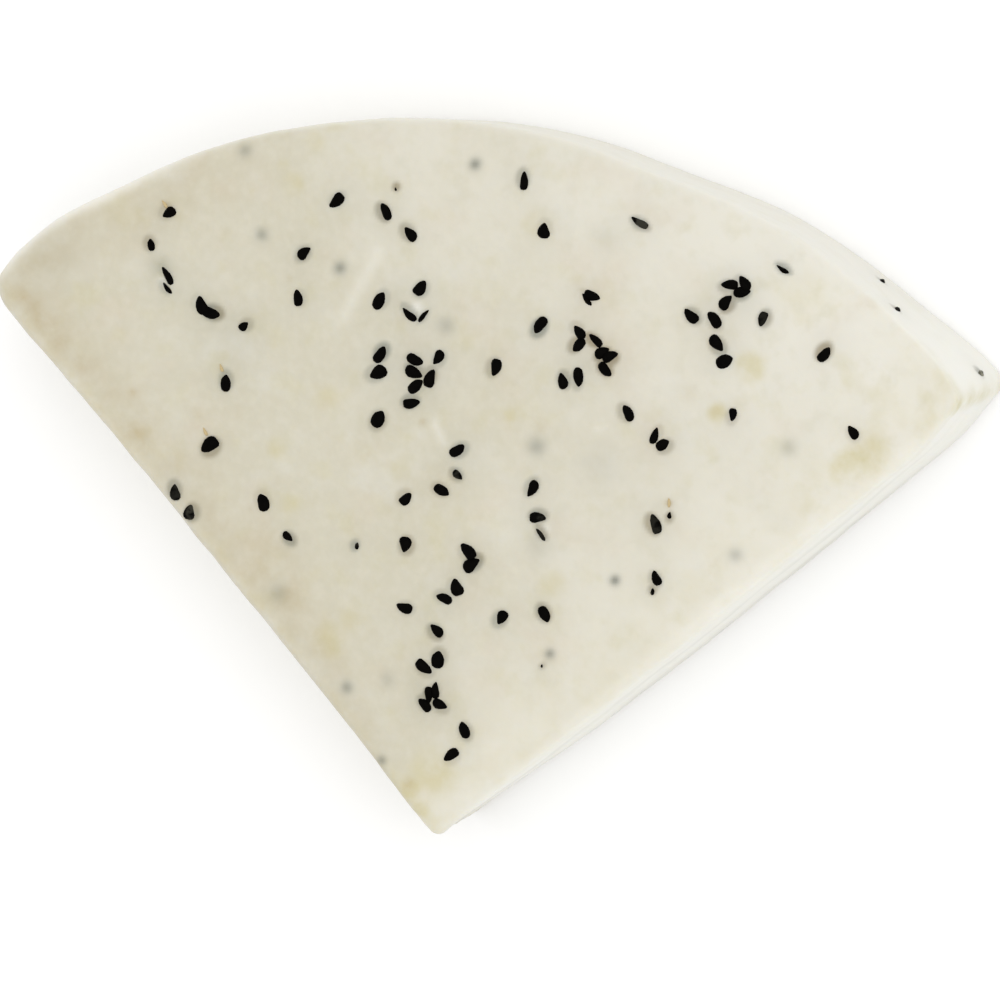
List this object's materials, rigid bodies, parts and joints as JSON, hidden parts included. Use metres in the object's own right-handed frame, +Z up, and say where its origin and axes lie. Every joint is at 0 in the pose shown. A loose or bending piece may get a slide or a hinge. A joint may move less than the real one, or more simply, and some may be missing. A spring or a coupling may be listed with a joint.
{
  "type": "tulum cheese",
  "caption": "Quarter-wheel wedge of pale firm cheese with nigella seeds mixed through the curd, two flat cuts and a curved rind, lying flat.",
  "frame": {"origin": "middle of the wedge's box, on its flat underside", "axes": "+Z up through the thickness, -Y towards the tip of the wedge, +Y towards the rind, +X to the right seen from the tip with the upper face up"},
  "size_m": [0.1482, 0.105, 0.0288],
  "materials": {
    "cheese": "satin, slightly moist ivory curd",
    "nigella_seed": "dull near-black seed coat"
  },
  "bodies": {
    "root": {"cheese_wedge": "cheese"}
  },
  "joints": []
}
